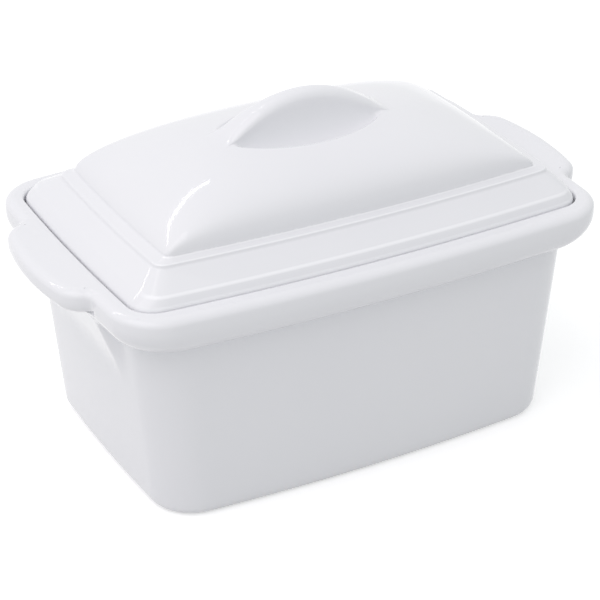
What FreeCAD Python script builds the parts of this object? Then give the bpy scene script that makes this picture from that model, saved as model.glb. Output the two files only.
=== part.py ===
import FreeCAD, Part
import math
import os
import Sketcher

# Porcelain terrine dish with its lid, in millimetres.
# The origin lies on the table under the middle of the dish. X runs along the dish and Z is up.

doc = FreeCAD.newDocument("TerrineDish")

# Driving dimensions
DRIVING = {
    # How far each bowed side turns between its middle and its corner, in degrees
    "bow_long": 4.5,
    "bow_end": 2.7,
    # Rolled rim
    "rim_length": 163.0,
    "rim_width": 109.0,
    "rim_corner": 15.5,
    "dish_height": 73.5,
    "lip_thick": 7.5,
    "lip_round": 3.2,
    "lip_land": 0.9,
    # Dish walls: how far they stand in from the rim at the neck, and from the neck at the foot
    "neck_drop": 13.0,
    "overhang_end": 8.0,
    "overhang_side": 6.2,
    "neck_corner": 15.2,
    "draft_end": 5.0,
    "draft_side": 2.3,
    "foot_corner": 15.5,
    "foot_round": 3.2,
    "wall_thick": 5.5,
    "floor_thick": 6.0,
    "floor_round": 5.0,
    # Rebate in the rim where the lid sits
    "band_end": 5.7,
    "band_side": 6.9,
    "rebate_depth": 4.5,
    "rebate_corner": 8.5,
    # Lug handles and the brackets under them
    "handle_reach": 8.5,
    "notch_spread": 55.0,
    "handle_corner": 9.0,
    "handle_face_radius": 90.0,
    "notch_round": 3.0,
    "bracket_margin": 7.0,
    "bracket_drop": 32.3,
    "bracket_inset": 9.7,
    "bracket_sink": 1.0,
    # Lid edge and its steps, from the rebate up to the foot of the dome
    "lid_gap": 0.6,
    "riser_rise": 3.15,
    "riser_end": 2.6,
    "riser_side": 1.7,
    "shoulder_rise": 4.3,
    "shoulder_end": 5.2,
    "shoulder_side": 7.5,
    "step_rise": 1.1,
    "step_end": 0.8,
    "step_side": 0.6,
    "ledge_rise": 0.7,
    "ledge_end": 3.6,
    "ledge_side": 2.2,
    # Dome
    "dome_rise": 16.7,
    "dome_corner": 3.5,
    "crest_straight": 1.6,
    # Oval finger recess and the bridge grip that spans it
    "recess_length": 53.0,
    "recess_width": 32.0,
    "recess_depth": 8.5,
    "recess_lift": 3.0,
    "bridge_overlap": 5.0,
    "bridge_rise": 9.6,
    "bridge_dip": 1.7,
    "bridge_sink": 11.0,
    "bridge_waist": 7.4,
    "bridge_width": 11.6,
    "bridge_flat": 0.3,
    # Hollow under the lid
    "flange_width": 9.0,
    "crown_thick": 3.95,
    "hollow_inset": 9.0,
    "hollow_corner": 9.0,
}


# A size keeps its number beside the sheet expression that it comes from
class Sized:
    def __init__(self, value, text):
        self.value = value
        self.text = text

    def __add__(self, other):
        return worked(self, "+", other, self.value + number(other))

    def __sub__(self, other):
        return worked(self, "-", other, self.value - number(other))

    def __mul__(self, other):
        return worked(self, "*", other, self.value * number(other))

    def __truediv__(self, other):
        return worked(self, "/", other, self.value / number(other))


def number(size):
    return size.value if isinstance(size, Sized) else float(size)


def written(size):
    return size.text if isinstance(size, Sized) else "%.9g" % size


def worked(left, sign, right, value):
    return Sized(value, "(%s %s %s)" % (written(left), sign, written(right)))


def make_sheet():
    sheet = doc.addObject("Spreadsheet::Sheet", "Sizes")
    for row, (name, value) in enumerate(DRIVING.items(), start=1):
        sheet.set("A%d" % row, name)
        sheet.set("B%d" % row, str(value))
        sheet.setAlias("B%d" % row, name)
    doc.recompute()
    return {name: Sized(value, "Sizes." + name) for name, value in DRIVING.items()}


size = make_sheet()


def make_body(name):
    body = doc.addObject("PartDesign::Body", name)
    body.Label = name
    body.Placement = FreeCAD.Placement()
    return body


def origin_plane(body, role):
    return next(plane for plane in body.Origin.OriginFeatures if plane.Role == role)


def place_sketch(body, name, role, height=None):
    sketch = body.newObject("Sketcher::SketchObject", name)
    sketch.AttachmentSupport = [(origin_plane(body, role), "")]
    sketch.MapMode = "FlatFace"
    if height is not None:
        sketch.AttachmentOffset = FreeCAD.Placement(FreeCAD.Vector(0, 0, number(height)), FreeCAD.Rotation())
        if isinstance(height, Sized):
            sketch.setExpression(".AttachmentOffset.Base.z", height.text)
    return sketch


def bind(sketch, kind, target, name, wanted):
    """Add a dimension to a sketch and tie it to the sheet."""
    index = sketch.addConstraint(Sketcher.Constraint(kind, *target, number(wanted)))
    sketch.renameConstraint(index, name)
    if isinstance(wanted, Sized):
        sketch.setExpression("Constraints." + name, wanted.text)


NEAR = 0.01
right_angle = Sized(90.0, "90")
START, END, CENTRE = range(1, 4)
X_AXIS, Y_AXIS = range(-1, -3, -1)
ORIGIN = (X_AXIS, START)


def side_radii(half_length, half_width, corner, bow_long, bow_end):
    """Radii of the long and end arcs that meet the corner arcs without a kink."""
    sin_long, cos_long = math.sin(bow_long), math.cos(bow_long)
    sin_end, cos_end = math.sin(bow_end), math.cos(bow_end)
    along = half_length - corner * cos_end + corner * sin_long
    across = half_width - corner * cos_long + corner * sin_end
    spread = sin_long * sin_end - (1 - cos_end) * (1 - cos_long)
    long_radius = (along * sin_end - across * (1 - cos_end)) / spread
    end_radius = (across * sin_long - along * (1 - cos_long)) / spread
    return long_radius, end_radius


def bowed_outline(body, name, height, half_length, half_width, corner):
    """A rounded rectangle whose four sides bow outwards."""
    turn_long, turn_end = math.radians(number(size["bow_long"])), math.radians(number(size["bow_end"]))
    a, b, r = number(half_length), number(half_width), number(corner)
    long_radius, end_radius = side_radii(a, b, r, turn_long, turn_end)
    end_x, long_y = a - end_radius, b - long_radius
    corner_x = (long_radius - r) * math.sin(turn_long)
    corner_y = (end_radius - r) * math.sin(turn_end)
    quarter = math.pi / 2
    # Eight arcs, anticlockwise from the right-hand end
    arcs = [
        (end_x, 0, end_radius, -turn_end, turn_end),
        (corner_x, corner_y, r, turn_end, quarter - turn_long),
        (0, long_y, long_radius, quarter - turn_long, quarter + turn_long),
        (-corner_x, corner_y, r, quarter + turn_long, 2 * quarter - turn_end),
        (-end_x, 0, end_radius, 2 * quarter - turn_end, 2 * quarter + turn_end),
        (-corner_x, -corner_y, r, 2 * quarter + turn_end, 3 * quarter - turn_long),
        (0, -long_y, long_radius, 3 * quarter - turn_long, 3 * quarter + turn_long),
        (corner_x, -corner_y, r, 3 * quarter + turn_long, 4 * quarter - turn_end),
    ]
    sketch = place_sketch(body, name, "XY_Plane", height)
    for x, y, radius, first, last in arcs:
        circle = Part.Circle(FreeCAD.Vector(x, y, 0), FreeCAD.Vector(0, 0, 1), radius)
        sketch.addGeometry(Part.ArcOfCircle(circle, first, last), False)
    for index in range(8):
        sketch.addConstraint(Sketcher.Constraint("Tangent", index, END, (index + 1) % 8, START))
    right, back, left, front = 0, 2, 4, 6
    sketch.addConstraint(Sketcher.Constraint("PointOnObject", right, CENTRE, X_AXIS))
    sketch.addConstraint(Sketcher.Constraint("PointOnObject", back, CENTRE, Y_AXIS))
    sketch.addConstraint(Sketcher.Constraint("Symmetric", right, CENTRE, left, CENTRE, *ORIGIN))
    sketch.addConstraint(Sketcher.Constraint("Symmetric", back, CENTRE, front, CENTRE, *ORIGIN))
    sketch.addConstraint(Sketcher.Constraint("Equal", right, left))
    sketch.addConstraint(Sketcher.Constraint("Equal", back, front))
    for index in (3, 5, 7):
        sketch.addConstraint(Sketcher.Constraint("Equal", 1, index))
    bind(sketch, "Radius", (1,), "corner", corner)
    # The middle of each bowed side carries the overall size
    hold_apex(sketch, "half_length", right, X_AXIS, (a, 0), half_length)
    hold_apex(sketch, "half_width", back, Y_AXIS, (0, b), half_width)
    # A radius line to a corner sets how much each side bows
    draw_radius(sketch, "bow_end", right, END, (end_x, 0), end_radius, turn_end, size["bow_end"])
    draw_radius(sketch, "bow_long", back, START, (0, long_y), long_radius, quarter - turn_long,
                right_angle - size["bow_long"])
    return sketch


def hold_apex(sketch, name, arc, axis, apex, wanted):
    """Hold the middle of a bowed side at its distance from the origin, along an axis."""
    point = sketch.addGeometry(Part.Point(FreeCAD.Vector(*apex, 0)), True)
    sketch.addConstraint(Sketcher.Constraint("PointOnObject", point, START, arc))
    sketch.addConstraint(Sketcher.Constraint("PointOnObject", point, START, axis))
    ends = (*ORIGIN, point, START) if sum(apex) > 0 else (point, START, *ORIGIN)
    bind(sketch, "DistanceX" if axis == X_AXIS else "DistanceY", ends, name, wanted)


def draw_radius(sketch, name, arc, at, centre, radius, turn, wanted):
    """A construction line from an arc's centre to one of its ends, held at an angle."""
    start = FreeCAD.Vector(*centre, 0)
    tip = start + FreeCAD.Vector(radius * math.cos(turn), radius * math.sin(turn), 0)
    line = sketch.addGeometry(Part.LineSegment(start, tip), True)
    sketch.addConstraint(Sketcher.Constraint("Coincident", line, START, arc, CENTRE))
    sketch.addConstraint(Sketcher.Constraint("Coincident", line, END, arc, at))
    index = sketch.addConstraint(Sketcher.Constraint("Angle", line, turn))
    sketch.renameConstraint(index, name)
    sketch.setExpression("Constraints." + name, written(wanted))


def loft(body, name, kind, outlines):
    """A solid or a cut through a row of outlines, straight from each one to the next."""
    feature = body.newObject("PartDesign::" + kind, name)
    feature.Profile = outlines[0]
    feature.Sections = outlines[1:]
    feature.Ruled = True


def pad(body, name, sketch, length, both_ways=False, kind="Pad"):
    feature = body.newObject("PartDesign::" + kind, name)
    feature.Profile = sketch
    feature.Midplane = both_ways
    feature.Length = number(length)
    feature.setExpression("Length", written(length))
    return feature


def edges_where(shape, wanted):
    """Names of the edges whose middle point passes a test."""
    names = []
    for index, edge in enumerate(shape.Edges, start=1):
        middle = edge.valueAt((edge.FirstParameter + edge.LastParameter) / 2)
        if wanted(middle, edge):
            names.append("Edge%d" % index)
    return names


def fillet(body, name, base, radius, wanted):
    doc.recompute()
    feature = body.newObject("PartDesign::Fillet", name)
    feature.Base = (base, edges_where(base.Shape, wanted))
    feature.Radius = number(radius)
    feature.setExpression("Radius", written(radius))
    doc.recompute()
    return feature


def at_height(level):
    return lambda middle, edge: abs(middle.z - number(level)) < NEAR and edge.BoundBox.ZLength < NEAR


# Turns at which an outline is drawn, in degrees, on the rounding of the foot and of the floor and under the lip
ROUND_TURNS = (0, 30, 60, 90)
FLARE_TURNS = (20, 40, 60, 80)

# Half sizes and levels that more than one feature uses
rim = (size["rim_length"] / 2, size["rim_width"] / 2)
neck = (rim[0] - size["overhang_end"], rim[1] - size["overhang_side"])
foot = (neck[0] - size["draft_end"], neck[1] - size["draft_side"])
neck_level = size["dish_height"] - size["neck_drop"]
rebate = (rim[0] - size["band_end"], rim[1] - size["band_side"])
lip_level = size["dish_height"] - size["lip_thick"]
lip_under_round = size["lip_thick"] - size["lip_round"] - size["lip_land"]
seat_level = size["dish_height"] - size["rebate_depth"]


def wall_at(level, inset):
    """Half length, half width and corner radius of the tapered walls at a level, moved in by an inset."""
    lows, highs = (*foot, size["foot_corner"]), (*neck, size["neck_corner"])
    return tuple(low + (high - low) * level / neck_level - inset for low, high in zip(lows, highs))


def rounding(body, name, base, radius, inset):
    """Outlines of the walls, moved in by an inset, that run round the edge of a floor at the level base."""
    outlines = []
    for turn in ROUND_TURNS:
        out, up = math.sin(math.radians(turn)), 1 - math.cos(math.radians(turn))
        level = radius * up + base
        outlines.append(bowed_outline(body, "%s_%d" % (name, turn), level,
                                      *wall_at(level, radius * (1 - out) + inset)))
    return outlines


def meeting_point(first, first_radius, second, second_radius):
    """Where two circles meet, on the right-hand side of the way from the first centre to the second."""
    gap_x, gap_y = second[0] - first[0], second[1] - first[1]
    gap = math.hypot(gap_x, gap_y)
    along = (gap ** 2 + first_radius ** 2 - second_radius ** 2) / (2 * gap)
    aside = math.sqrt(first_radius ** 2 - along ** 2)
    return (first[0] + (along * gap_x + aside * gap_y) / gap, first[1] + (along * gap_y - aside * gap_x) / gap)


def direction(start, target):
    return math.atan2(target[1] - start[1], target[0] - start[0])


def rim_plan(body, name, height):
    """The rim seen from above: bowed sides, and at each end a lug handle between two notches."""
    turn_long, turn_end = math.radians(number(size["bow_long"])), math.radians(number(size["bow_end"]))
    a, b, corner = number(rim[0]), number(rim[1]), number(size["rim_corner"])
    long_radius, end_radius = side_radii(a, b, corner, turn_long, turn_end)
    notch, lobe, face = (number(size[key]) for key in ("notch_round", "handle_corner", "handle_face_radius"))
    reach = rim[0] + size["handle_reach"]
    # Centres of the arcs in the quarter with x and y above zero
    end_centre, long_centre = (a - end_radius, 0.0), (0.0, b - long_radius)
    corner_centre = ((long_radius - corner) * math.sin(turn_long), (end_radius - corner) * math.sin(turn_end))
    notch_y = number(size["notch_spread"]) / 2
    notch_centre = (end_centre[0] + math.sqrt((end_radius + notch) ** 2 - notch_y ** 2), notch_y)
    face_centre = (number(reach) - face, 0.0)
    lobe_centre = meeting_point(face_centre, face - lobe, notch_centre, lobe + notch)
    quarter = math.pi / 2
    face_turn = direction(face_centre, lobe_centre)
    lobe_turn = direction(lobe_centre, notch_centre)
    notch_turn = direction(end_centre, notch_centre)
    side = [
        ("lobe", lobe_centre, lobe, face_turn, lobe_turn),
        ("notch", notch_centre, notch, 2 * quarter + notch_turn, 2 * quarter + lobe_turn),
        ("end", end_centre, end_radius, notch_turn, turn_end),
        ("corner", corner_centre, corner, turn_end, quarter - turn_long),
    ]
    mirrored = [(kind, (-centre[0], centre[1]), radius, 2 * quarter - last, 2 * quarter - first)
                for kind, centre, radius, first, last in reversed(side)]
    half = [("face", face_centre, face, -face_turn, face_turn), *side,
            ("long", long_centre, long_radius, quarter - turn_long, quarter + turn_long), *mirrored]
    other_half = [(kind, (-centre[0], -centre[1]), radius, first + 2 * quarter, last + 2 * quarter)
                  for kind, centre, radius, first, last in half]
    arcs = half + other_half

    sketch = place_sketch(body, name, "XY_Plane", height)
    groups = {}
    for index, (kind, centre, radius, first, last) in enumerate(arcs):
        circle = Part.Circle(FreeCAD.Vector(*centre, 0), FreeCAD.Vector(0, 0, 1), radius)
        sketch.addGeometry(Part.ArcOfCircle(circle, first, last), False)
        groups.setdefault(kind, []).append(index)
    # A notch bends the other way, so the path runs through it from its end to its start
    ways = [(END, START) if kind == "notch" else (START, END) for kind, *rest in arcs]
    for index, way in enumerate(ways):
        following = (index + 1) % len(arcs)
        sketch.addConstraint(Sketcher.Constraint("Tangent", index, way[1], following, ways[following][0]))
    for members in groups.values():
        for index in members[1:]:
            sketch.addConstraint(Sketcher.Constraint("Equal", members[0], index))
    bind(sketch, "Radius", (groups["corner"][0],), "corner", size["rim_corner"])
    bind(sketch, "Radius", (groups["notch"][0],), "notch", size["notch_round"])
    bind(sketch, "Radius", (groups["lobe"][0],), "lobe", size["handle_corner"])
    bind(sketch, "Radius", (groups["face"][0],), "face", size["handle_face_radius"])
    # Sides and handles are centred on the axes
    for index in groups["long"]:
        sketch.addConstraint(Sketcher.Constraint("PointOnObject", index, CENTRE, Y_AXIS))
    for index in groups["face"]:
        sketch.addConstraint(Sketcher.Constraint("PointOnObject", index, CENTRE, X_AXIS))
    above_right, above_left, below_left, below_right = groups["end"]
    for above, below in ((above_right, below_right), (above_left, below_left)):
        sketch.addConstraint(Sketcher.Constraint("PointOnObject", above, CENTRE, X_AXIS))
        sketch.addConstraint(Sketcher.Constraint("Coincident", above, CENTRE, below, CENTRE))
    # The middle of each side carries the overall size
    hold_apex(sketch, "right_end", above_right, X_AXIS, (a, 0), rim[0])
    hold_apex(sketch, "left_end", above_left, X_AXIS, (-a, 0), rim[0])
    hold_apex(sketch, "right_face", groups["face"][0], X_AXIS, (number(reach), 0), reach)
    hold_apex(sketch, "left_face", groups["face"][1], X_AXIS, (-number(reach), 0), reach)
    hold_apex(sketch, "back", groups["long"][0], Y_AXIS, (0, b), rim[1])
    hold_apex(sketch, "front", groups["long"][1], Y_AXIS, (0, -b), rim[1])
    for position, index in enumerate(groups["notch"]):
        ends = (*ORIGIN, index, CENTRE) if arcs[index][1][1] > 0 else (index, CENTRE, *ORIGIN)
        bind(sketch, "DistanceY", ends, "notch_%d" % position, size["notch_spread"] / 2)
    draw_radius(sketch, "bow_end", above_right, END, end_centre, end_radius, turn_end, size["bow_end"])
    draw_radius(sketch, "bow_long", groups["long"][0], START, long_centre, long_radius, quarter - turn_long,
                right_angle - size["bow_long"])
    return sketch


def closed_profile(body, name, role, points):
    """A closed run of straight lines through bound points (x, y)."""
    sketch = place_sketch(body, name, role)
    count = len(points)
    for index, (x, y) in enumerate(points):
        next_x, next_y = points[(index + 1) % count]
        start = FreeCAD.Vector(number(x), number(y), 0)
        sketch.addGeometry(Part.LineSegment(start, FreeCAD.Vector(number(next_x), number(next_y), 0)), False)
    for index in range(count):
        sketch.addConstraint(Sketcher.Constraint("Coincident", index, END, (index + 1) % count, START))
    for index, (x, y) in enumerate(points):
        bind(sketch, "DistanceX", (*ORIGIN, index, START), "x%d" % index, x)
        bind(sketch, "DistanceY", (*ORIGIN, index, START), "y%d" % index, y)
    return sketch


def mirror(body, name, features, role):
    mirrored = body.newObject("PartDesign::Mirrored", name)
    mirrored.Originals = features
    mirrored.MirrorPlane = (origin_plane(body, role), [""])
    body.Tip = mirrored
    return mirrored


def make_dish():
    body = make_body("dish")
    # Thick rolled lip, with the lug handles in the same outline
    lip_outline = rim_plan(body, "lip_outline", lip_level)
    lip = pad(body, "lip", lip_outline, size["lip_thick"])
    softened = fillet(body, "lip_edge", lip, size["lip_round"], at_height(size["dish_height"]))
    fillet(body, "lip_under_edge", softened, lip_under_round, at_height(lip_level))

    # Tapered walls on a rounded foot
    neck_outline = bowed_outline(body, "neck_outline", neck_level, *neck, size["neck_corner"])
    foot_outlines = rounding(body, "foot_outline", Sized(0.0, "0"), size["foot_round"], 0)
    loft(body, "walls", "AdditiveLoft", [*foot_outlines, neck_outline])

    # Quarter round that carries the lip out of the walls
    rise = lip_level + lip_under_round - neck_level
    flare = [neck_outline]
    for turn in FLARE_TURNS:
        out, up = math.sin(math.radians(turn)), 1 - math.cos(math.radians(turn))
        half = [low + (high - low) * out for low, high in zip(neck, rim)]
        corner = size["neck_corner"] + (size["rim_corner"] - size["neck_corner"]) * out
        flare.append(bowed_outline(body, "flare_outline_%d" % turn, neck_level + rise * up, *half, corner))
    loft(body, "flare", "AdditiveLoft", flare)

    # Bracket under each handle, a wedge that grows out of the end wall
    bracket_foot = size["dish_height"] - size["bracket_drop"]
    wall_x = wall_at(bracket_foot, 0)[0]
    bracket_points = [
        (wall_x - size["wall_thick"] / 2, bracket_foot),
        (wall_x - size["bracket_sink"], bracket_foot),
        (rim[0] + size["handle_reach"] - size["bracket_inset"], lip_level + size["bracket_sink"]),
        (wall_x - size["wall_thick"] / 2, lip_level + size["bracket_sink"]),
    ]
    bracket_side = closed_profile(body, "bracket_side", "XZ_Plane", bracket_points)
    bracket = pad(body, "bracket", bracket_side, size["notch_spread"] - size["bracket_margin"], both_ways=True)
    mirror(body, "both_brackets", [bracket], "YZ_Plane")

    # Inside: tapered cavity with a rounded floor, then the rebate for the lid
    cavity_outlines = rounding(body, "cavity_outline", size["floor_thick"], size["floor_round"], size["wall_thick"])
    cavity_mouth = bowed_outline(body, "cavity_mouth", size["dish_height"],
                                 *wall_at(size["dish_height"], size["wall_thick"]))
    loft(body, "cavity", "SubtractiveLoft", [*cavity_outlines, cavity_mouth])
    rebate_outline = bowed_outline(body, "rebate_outline", size["dish_height"], *rebate, size["rebate_corner"])
    pad(body, "rebate", rebate_outline, size["rebate_depth"], kind="Pocket")
    doc.recompute()
    return body


def share_along(level):
    """Share of the dome's half length that still stands at a level from 0, its foot, to 1, its crest."""
    return (1 - level ** (1 / END_FALL)) ** (1 / END_CURVE)


def share_across(level):
    return (1 - level ** (1 / SIDE_FALL)) ** (1 / SIDE_CURVE)


# The dome falls from its crest as (1 - t ** curve) ** fall, with t from 0 at the middle to 1 at the foot
END_CURVE, END_FALL = 3.1, 0.77
SIDE_CURVE, SIDE_FALL = 1.5, 0.3
DOME_LEVELS = (0.0, 0.14, 0.3, 0.46, 0.62, 0.78, 0.94)


# The steps from the lid's edge up to the dome
LID_STEPS = ("riser", "shoulder", "step", "ledge")


def make_lid():
    body = make_body("lid")
    # Each step of the edge is the outline below it, moved in
    edge = (rebate[0] - size["lid_gap"], rebate[1] - size["lid_gap"])
    level, dome_half, corner = size["dish_height"], edge, size["rebate_corner"]
    outlines = [bowed_outline(body, "edge_outline", seat_level, *edge, corner),
                bowed_outline(body, "rim_level_outline", level, *edge, corner)]
    # The corners tighten evenly from the lid's edge to the foot of the dome
    tightening = (size["rebate_corner"] - size["dome_corner"]) / len(LID_STEPS)
    for step in LID_STEPS:
        level = level + size[step + "_rise"]
        dome_half = (dome_half[0] - size[step + "_end"], dome_half[1] - size[step + "_side"])
        corner = corner - tightening
        outlines.append(bowed_outline(body, step + "_outline", level, *dome_half, corner))
    loft(body, "edge_steps", "AdditiveLoft", outlines)

    # Dome: level lines that grow rounder towards the crest
    contours = []
    for index, share in enumerate(DOME_LEVELS):
        across = dome_half[1] * share_across(share)
        corner = size["dome_corner"] * (1 - share) + (across - size["crest_straight"]) * share
        contours.append(bowed_outline(body, "dome_outline_%d" % index, level + size["dome_rise"] * share,
                                      dome_half[0] * share_along(share), across, corner))
    loft(body, "dome", "AdditiveLoft", contours)
    crest = level + size["dome_rise"]

    # Oval recess in the crown for the fingers
    recess = body.newObject("PartDesign::SubtractiveEllipsoid", "finger_recess")
    recess.AttachmentSupport = [(origin_plane(body, "XY_Plane"), "")]
    recess.MapMode = "FlatFace"
    recess_level = crest + size["recess_lift"]
    recess.AttachmentOffset = FreeCAD.Placement(FreeCAD.Vector(0, 0, number(recess_level)), FreeCAD.Rotation())
    recess.setExpression(".AttachmentOffset.Base.z", recess_level.text)
    for radius, wanted in (("Radius1", size["recess_lift"] + size["recess_depth"]),
                           ("Radius2", size["recess_length"] / 2), ("Radius3", size["recess_width"] / 2)):
        setattr(recess, radius, number(wanted))
        recess.setExpression(radius, wanted.text)

    # Bridge grip: an arch along the lid that spans the recess, narrowest at its middle
    sections = [bridge_section(body, index, share, crest) for index, share in enumerate(BRIDGE_SHARES)]
    loft(body, "bridge", "AdditiveLoft", sections)

    # Hollow under the dome, inside the flat bearing edge
    mouth = (edge[0] - size["flange_width"], edge[1] - size["flange_width"])
    roof = (mouth[0] - size["hollow_inset"], mouth[1] - size["hollow_inset"])
    mouth_outline = bowed_outline(body, "hollow_mouth", seat_level, *mouth, size["hollow_corner"])
    roof_level = crest - size["recess_depth"] - size["crown_thick"]
    roof_outline = bowed_outline(body, "hollow_roof", roof_level, *roof, size["hollow_corner"])
    loft(body, "hollow", "SubtractiveLoft", [mouth_outline, roof_outline])
    doc.recompute()
    return body


# Places of the cross-sections along the bridge, as shares of its half length
BRIDGE_SHARES = (-1.0, -0.8, -0.55, -0.3, 0.0, 0.3, 0.55, 0.8, 1.0)


def bridge_section(body, index, share, crest):
    """Cross-section of the bridge: upright sides and a top with rounded edges."""
    top = crest + size["bridge_rise"] - (size["bridge_rise"] + size["bridge_dip"]) * share ** 2
    half_width = (size["bridge_waist"] + (size["bridge_width"] - size["bridge_waist"]) * share ** 2) / 2
    base = crest - size["bridge_sink"]
    half_length = (size["recess_length"] + size["bridge_overlap"]) / 2
    rounded = size["bridge_waist"] / 2 - size["bridge_flat"]
    sketch = place_sketch(body, "bridge_section_%d" % index, "YZ_Plane", half_length * share)
    low, high, side, turn = number(base), number(top), number(half_width), number(rounded)
    corners = [(-side, low), (side, low), (side, high - turn), (side - turn, high), (turn - side, high),
               (-side, high - turn)]
    right_arc, left_arc = 2, 4
    for place, (start, end) in enumerate(zip(corners, corners[1:] + corners[:1])):
        if place in (right_arc, left_arc):
            centre = FreeCAD.Vector(side - turn if place == right_arc else turn - side, high - turn, 0)
            first = 0 if place == right_arc else math.pi / 2
            circle = Part.Circle(centre, FreeCAD.Vector(0, 0, 1), turn)
            sketch.addGeometry(Part.ArcOfCircle(circle, first, first + math.pi / 2), False)
        else:
            sketch.addGeometry(Part.LineSegment(FreeCAD.Vector(*start, 0), FreeCAD.Vector(*end, 0)), False)
    bottom, right, top_line, left = 0, 1, 3, 5
    sketch.addConstraint(Sketcher.Constraint("Coincident", bottom, END, right, START))
    sketch.addConstraint(Sketcher.Constraint("Coincident", left, END, bottom, START))
    for first, second in ((right, right_arc), (right_arc, top_line), (top_line, left_arc), (left_arc, left)):
        sketch.addConstraint(Sketcher.Constraint("Tangent", first, END, second, START))
    for line in (right, left):
        sketch.addConstraint(Sketcher.Constraint("Vertical", line))
    sketch.addConstraint(Sketcher.Constraint("Horizontal", top_line))
    sketch.addConstraint(Sketcher.Constraint("Equal", right_arc, left_arc))
    sketch.addConstraint(Sketcher.Constraint("Symmetric", bottom, START, bottom, END, Y_AXIS))
    bind(sketch, "Radius", (right_arc,), "round", rounded)
    bind(sketch, "DistanceX", (bottom, START, bottom, END), "width", half_width * 2)
    bind(sketch, "DistanceY", (*ORIGIN, bottom, START), "base", base)
    bind(sketch, "DistanceY", (*ORIGIN, right_arc, END), "top", top)
    return sketch


dish = make_dish()
lid = make_lid()


def export(bodies):
    doc.recompute()
    faults = [obj.Name for obj in doc.Objects if "Invalid" in obj.State or "Error" in obj.State]
    faults += [body.Label for body in bodies if body.Shape.isNull() or not body.Shape.isValid()]
    if faults:
        raise RuntimeError("These did not come out: " + ", ".join(faults))
    os.makedirs("parts", exist_ok=True)
    for body in bodies:
        body.Shape.exportStep("parts/%s.step" % body.Label)
        print(body.Label, round(body.Shape.Volume / 1000, 1), "cubic centimetres")


export([dish, lid])
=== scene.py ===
# %% [markdown]
# # A porcelain terrine dish with its lid
#
# The real thing is slip-cast: liquid clay stiffens against a plaster mould, so every edge is soft, every wall
# drafts outwards to leave the mould, and one thick glossy white glaze covers all of it.
# The dish and its lid are two separate castings, and the lid only rests in a rebate of the rim.
#
# The packed CAD model is the fixed frame of this scene. Its two nodes have the right sizes, but their faces
# meet in crisp creases. Glaze never does that, so both castings are drawn again here with rounded edges,
# in the same place and from the same sizes, and they stand for the CAD nodes.

# %% Load the frame
import bmesh
import bpy
import math
from mathutils import Euler, Matrix, Vector


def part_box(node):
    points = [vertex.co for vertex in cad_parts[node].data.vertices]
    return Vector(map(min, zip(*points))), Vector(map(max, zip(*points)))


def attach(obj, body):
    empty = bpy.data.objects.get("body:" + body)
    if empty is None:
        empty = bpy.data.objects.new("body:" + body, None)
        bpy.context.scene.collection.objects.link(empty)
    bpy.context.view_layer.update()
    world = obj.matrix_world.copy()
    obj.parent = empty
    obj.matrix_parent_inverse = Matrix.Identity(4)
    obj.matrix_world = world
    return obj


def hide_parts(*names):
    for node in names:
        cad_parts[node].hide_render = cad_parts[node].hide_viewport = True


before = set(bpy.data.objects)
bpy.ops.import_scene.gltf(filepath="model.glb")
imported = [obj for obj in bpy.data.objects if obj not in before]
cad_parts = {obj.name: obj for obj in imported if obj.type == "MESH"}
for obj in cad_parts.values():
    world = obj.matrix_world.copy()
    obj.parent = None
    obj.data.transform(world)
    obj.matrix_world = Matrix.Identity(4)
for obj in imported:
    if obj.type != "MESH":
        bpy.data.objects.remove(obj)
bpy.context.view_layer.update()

# %% [markdown]
# ## Sizes
#
# All sizes are in millimetres, as a potter would note them, and become metres only when a mesh is made.
# Each one is a driving size of the casting. Half sizes are worked out once, because every outline is
# drawn from its middle.

# %% Sizes of the two castings
MM = 0.001
BOW_LONG, BOW_END = math.radians(4.5), math.radians(2.7)

FOOT = (67.9, 46.0, 14.2)          # half length, half width and corner radius on the table
NECK = (73.5, 48.3, 15.2)          # the same, where the walls meet the rolled rim
RIM = (81.5, 54.47, 15.5)
REBATE = (75.8, 47.6, 8.5)
NECK_LEVEL, LIP_LEVEL, TOP_LEVEL, SEAT_LEVEL = 60.5, 66.0, 73.5, 69.0
FOOT_ROUND, LIP_UNDER_ROUND = 3.2, 3.4
LIP_ROUND = (3.2, 2.2)             # across the rim and down its face
WALL, FLOOR, FLOOR_ROUND = 5.5, 6.0, 5.0

HANDLE_REACH, HANDLE_FACE, HANDLE_CORNER = 8.5, 90.0, 9.0
NOTCH_SPREAD, NOTCH_ROUND = 55.0, 3.0
BRACKET_WIDTH, BRACKET_FOOT, BRACKET_INSET = 48.0, 41.2, 9.7
print("the dish is", 2 * (RIM[0] + HANDLE_REACH), "mm over its handles and", TOP_LEVEL, "mm tall")

# %% [markdown]
# ## One outline for every level
#
# Cut the casting level at any height and the cut looks alike: a rounded rectangle whose four sides bow
# outwards a little, because straight sides would sag inwards in the kiln. Eight arcs that meet without
# a kink draw it. The direction that a point of the outline faces names the point on every level, so points
# with the same direction can be joined into the columns of a mesh.

# %% The bowed outline
def side_radii(half_length, half_width, corner):
    """Radii of the long and end arcs that run smoothly into the corner arcs."""
    sin_long, cos_long = math.sin(BOW_LONG), math.cos(BOW_LONG)
    sin_end, cos_end = math.sin(BOW_END), math.cos(BOW_END)
    along = half_length - corner * cos_end + corner * sin_long
    across = half_width - corner * cos_long + corner * sin_end
    spread = sin_long * sin_end - (1 - cos_end) * (1 - cos_long)
    return ((along * sin_end - across * (1 - cos_end)) / spread,
            (across * sin_long - along * (1 - cos_long)) / spread)


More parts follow.
